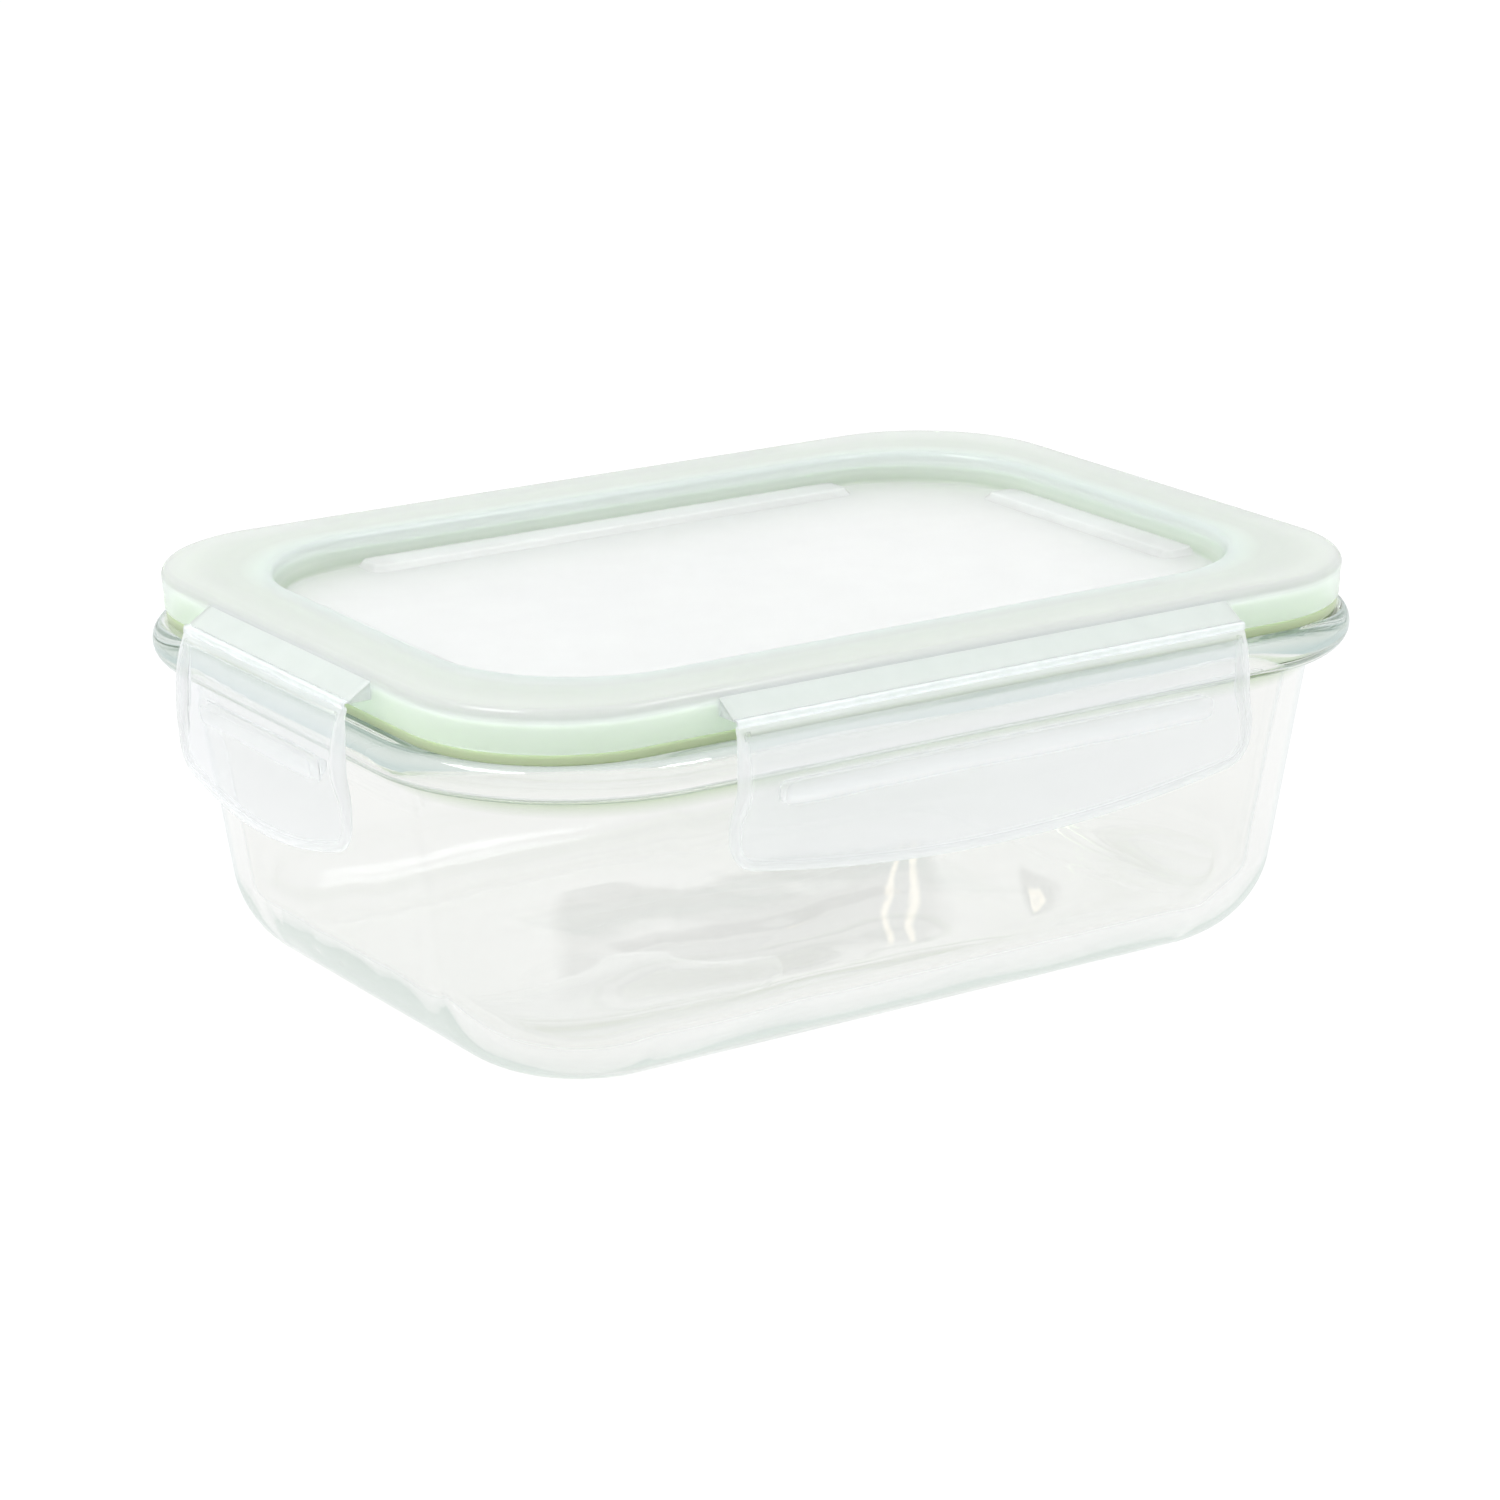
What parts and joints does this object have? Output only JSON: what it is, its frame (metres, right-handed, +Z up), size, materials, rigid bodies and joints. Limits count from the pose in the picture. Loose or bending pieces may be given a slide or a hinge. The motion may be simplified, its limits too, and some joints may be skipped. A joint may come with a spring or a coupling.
{
  "type": "snap lid food container",
  "caption": "Rectangular tapered glass food container with a half-round rim, a clip-on plastic lid with hinged flaps on its sides, and a silicone seal.",
  "frame": {"origin": "centre of the bowl's base, on the plane that the container rests on", "axes": "+X along the long side, +Y along the short side, +Z up through the lid"},
  "size_m": [0.2118, 0.156, 0.075],
  "materials": {
    "bowl_glass": "polished clear glass with a faint green tint",
    "lid_plastic": "translucent natural polypropylene, satin",
    "flap_plastic": "translucent natural polypropylene, satin",
    "hinge_web_plastic": "thin living hinge, whitened by bending",
    "seal": "matte green silicone"
  },
  "bodies": {
    "bowl": {"glass_bowl": "bowl_glass"},
    "lid_assembly": {"lid": "lid_plastic", "gasket": "seal"},
    "front_clip": {"front_flap": "flap_plastic", "front_latch": "flap_plastic", "front_hinge_web": "hinge_web_plastic"},
    "back_clip": {"back_flap": "flap_plastic", "back_latch": "flap_plastic", "back_hinge_web": "hinge_web_plastic"},
    "left_clip": {"left_flap": "flap_plastic", "left_latch": "flap_plastic", "left_hinge_web": "hinge_web_plastic"},
    "right_clip": {"right_flap": "flap_plastic", "right_latch": "flap_plastic", "right_hinge_web": "hinge_web_plastic"}
  },
  "joints": [
    {"name": "lid_lift", "type": "slide", "parent": "bowl", "child": "lid_assembly", "axis": [0, 0, 1], "range_m": [0, 0.06], "deforming": ["front_latch", "back_latch", "left_latch", "right_latch"]},
    {"name": "front_flap_hinge", "type": "hinge", "parent": "lid_assembly", "child": "front_clip", "pos_m": [0, -0.0754, 0.0702], "axis": [-1, 0, 0], "range_deg": [0, 165], "deforming": ["front_hinge_web"]},
    {"name": "back_flap_hinge", "type": "hinge", "parent": "lid_assembly", "child": "back_clip", "pos_m": [0, 0.0754, 0.0702], "axis": [1, 0, 0], "range_deg": [0, 165], "deforming": ["back_hinge_web"]},
    {"name": "left_flap_hinge", "type": "hinge", "parent": "lid_assembly", "child": "left_clip", "pos_m": [-0.1033, 0, 0.0702], "axis": [0, 1, 0], "range_deg": [0, 165], "deforming": ["left_hinge_web"]},
    {"name": "right_flap_hinge", "type": "hinge", "parent": "lid_assembly", "child": "right_clip", "pos_m": [0.1033, 0, 0.0702], "axis": [0, -1, 0], "range_deg": [0, 165], "deforming": ["right_hinge_web"]}
  ]
}
